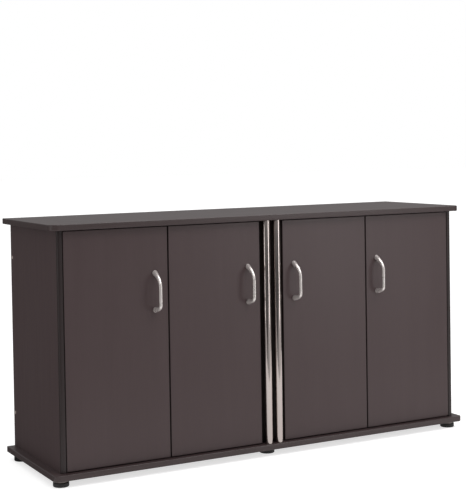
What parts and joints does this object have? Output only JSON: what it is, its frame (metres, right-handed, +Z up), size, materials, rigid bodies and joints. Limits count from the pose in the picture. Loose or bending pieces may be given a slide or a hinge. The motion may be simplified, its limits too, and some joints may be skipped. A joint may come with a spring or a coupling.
{
  "type": "aquarium stand cabinet",
  "caption": "Low wide cupboard on short feet that carries a tank on its top board, with hinged doors in pairs either side of polished metal columns.",
  "frame": {"origin": "on the floor under the centre of the bounding box", "axes": "+X right along the length, -Y towards the doors and handles, +Z up"},
  "size_m": [1.5, 0.464, 0.774],
  "materials": {
    "laminate_board": "satin wood-grain laminate",
    "laminate_door": "satin wood-grain laminate",
    "dark_stile": "black laminate",
    "back_board": "matt painted fibreboard",
    "polished_metal": "polished",
    "nickel_steel": "nickel plated",
    "black_plastic": "moulded"
  },
  "bodies": {
    "carcass": {"top_board": "laminate_board", "base_board": "laminate_board", "side_panel_left": "laminate_board", "side_panel_right": "laminate_board", "partition_left": "laminate_board", "partition_right": "laminate_board", "centre_partition": "laminate_board", "shelf_left": "laminate_board", "shelf_right": "laminate_board", "centre_stile": "dark_stile", "back_panel_left": "back_board", "column_left": "polished_metal", "back_panel_right": "back_board", "column_right": "polished_metal", "foot_front_left": "black_plastic", "foot_front_centre": "black_plastic", "foot_front_right": "black_plastic", "foot_rear_left": "black_plastic", "foot_rear_centre": "black_plastic", "foot_rear_right": "black_plastic", "shelf_pin_left_outer_front": "nickel_steel", "shelf_pin_left_outer_rear": "nickel_steel", "shelf_pin_left_inner_front": "nickel_steel", "shelf_pin_left_inner_rear": "nickel_steel", "shelf_pin_right_outer_front": "nickel_steel", "shelf_pin_right_outer_rear": "nickel_steel", "shelf_pin_right_inner_front": "nickel_steel", "shelf_pin_right_inner_rear": "nickel_steel", "hinge_arm_1_lower": "nickel_steel", "hinge_arm_1_upper": "nickel_steel", "hinge_arm_2_lower": "nickel_steel", "hinge_arm_2_upper": "nickel_steel", "hinge_arm_3_lower": "nickel_steel", "hinge_arm_3_upper": "nickel_steel", "hinge_arm_4_lower": "nickel_steel", "hinge_arm_4_upper": "nickel_steel"},
    "door_1_leaf": {"door_1": "laminate_door", "handle_1": "polished_metal", "hinge_cup_1_lower": "nickel_steel", "hinge_cup_1_upper": "nickel_steel"},
    "door_1_links": {"hinge_link_1_lower": "nickel_steel", "hinge_link_1_upper": "nickel_steel"},
    "door_2_leaf": {"door_2": "laminate_door", "handle_2": "polished_metal", "hinge_cup_2_lower": "nickel_steel", "hinge_cup_2_upper": "nickel_steel"},
    "door_2_links": {"hinge_link_2_lower": "nickel_steel", "hinge_link_2_upper": "nickel_steel"},
    "door_3_leaf": {"door_3": "laminate_door", "handle_3": "polished_metal", "hinge_cup_3_lower": "nickel_steel", "hinge_cup_3_upper": "nickel_steel"},
    "door_3_links": {"hinge_link_3_lower": "nickel_steel", "hinge_link_3_upper": "nickel_steel"},
    "door_4_leaf": {"door_4": "laminate_door", "handle_4": "polished_metal", "hinge_cup_4_lower": "nickel_steel", "hinge_cup_4_upper": "nickel_steel"},
    "door_4_links": {"hinge_link_4_lower": "nickel_steel", "hinge_link_4_upper": "nickel_steel"}
  },
  "joints": [
    {"name": "door_1_hinge", "type": "hinge", "parent": "carcass", "child": "door_1_leaf", "pos_m": [-0.705, -0.188, 0.398], "axis": [0, 0, -1], "range_deg": [0, 95]},
    {"name": "door_2_hinge", "type": "hinge", "parent": "carcass", "child": "door_2_leaf", "pos_m": [-0.36325, -0.188, 0.398], "axis": [0, 0, -1], "range_deg": [0, 95]},
    {"name": "door_3_hinge", "type": "hinge", "parent": "carcass", "child": "door_3_leaf", "pos_m": [0.36325, -0.188, 0.398], "axis": [0, 0, 1], "range_deg": [0, 95]},
    {"name": "door_4_hinge", "type": "hinge", "parent": "carcass", "child": "door_4_leaf", "pos_m": [0.705, -0.188, 0.398], "axis": [0, 0, 1], "range_deg": [0, 95]},
    {"name": "door_1_link_swing", "type": "hinge", "parent": "carcass", "child": "door_1_links", "pos_m": [-0.705, -0.188, 0.398], "axis": [0, 0, -1], "range_deg": [0, 55]},
    {"name": "door_2_link_swing", "type": "hinge", "parent": "carcass", "child": "door_2_links", "pos_m": [-0.36325, -0.188, 0.398], "axis": [0, 0, -1], "range_deg": [0, 55]},
    {"name": "door_3_link_swing", "type": "hinge", "parent": "carcass", "child": "door_3_links", "pos_m": [0.36325, -0.188, 0.398], "axis": [0, 0, 1], "range_deg": [0, 55]},
    {"name": "door_4_link_swing", "type": "hinge", "parent": "carcass", "child": "door_4_links", "pos_m": [0.705, -0.188, 0.398], "axis": [0, 0, 1], "range_deg": [0, 55]}
  ],
  "couplings": [
    {"joint": "door_1_link_swing", "follows": "door_1_hinge", "ratio": 0.57},
    {"joint": "door_2_link_swing", "follows": "door_2_hinge", "ratio": 0.57},
    {"joint": "door_3_link_swing", "follows": "door_3_hinge", "ratio": 0.57},
    {"joint": "door_4_link_swing", "follows": "door_4_hinge", "ratio": 0.57}
  ]
}
